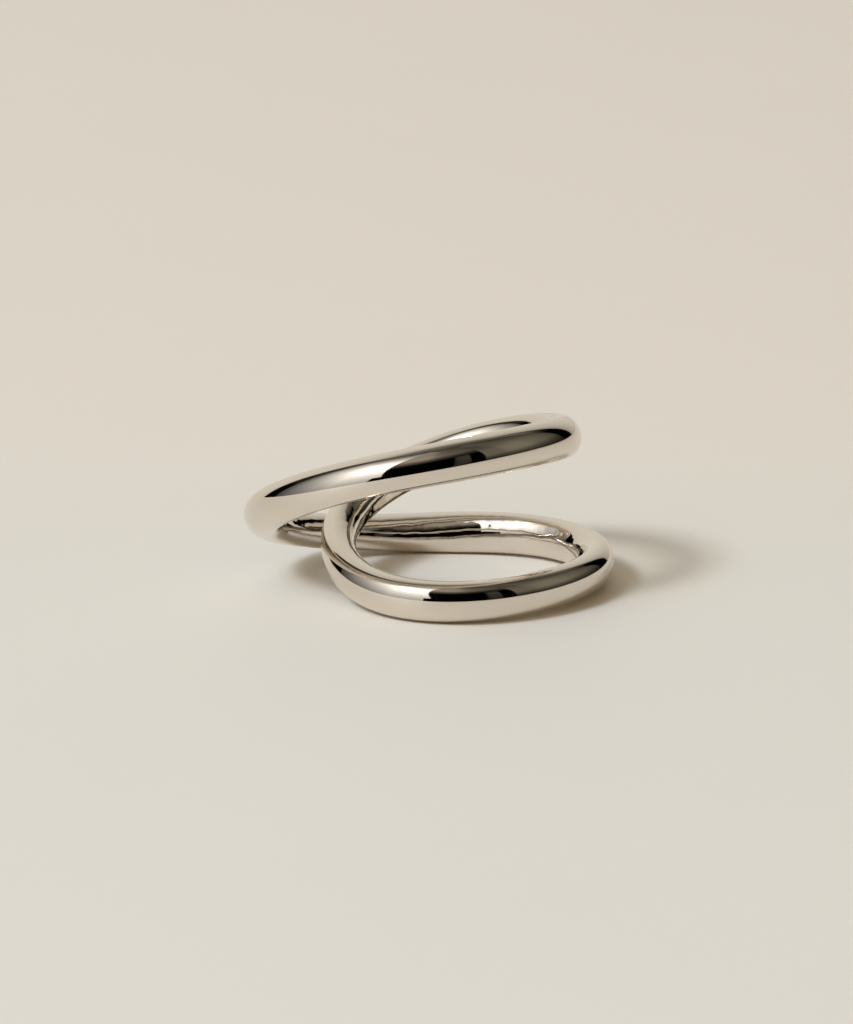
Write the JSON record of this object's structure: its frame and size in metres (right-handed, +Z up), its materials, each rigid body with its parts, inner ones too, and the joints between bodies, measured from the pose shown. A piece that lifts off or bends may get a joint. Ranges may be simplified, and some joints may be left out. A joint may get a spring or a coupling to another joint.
{
  "type": "spiral ring",
  "caption": "Finger ring of one polished, slightly oval wire wound twice round and closed on itself, its turns crossing on one side and standing apart like an open shell on the other.",
  "frame": {"origin": "on the floor, under the middle of the ring's extent, as the ring lies on its lower turn", "axes": "+X towards the open side, where the two turns stand apart, +Y towards the back of the ring, +Z up"},
  "size_m": [0.0292, 0.024, 0.0151],
  "materials": {
    "band": "mirror-polished silver"
  },
  "bodies": {
    "root": {"band": "band"}
  },
  "joints": []
}
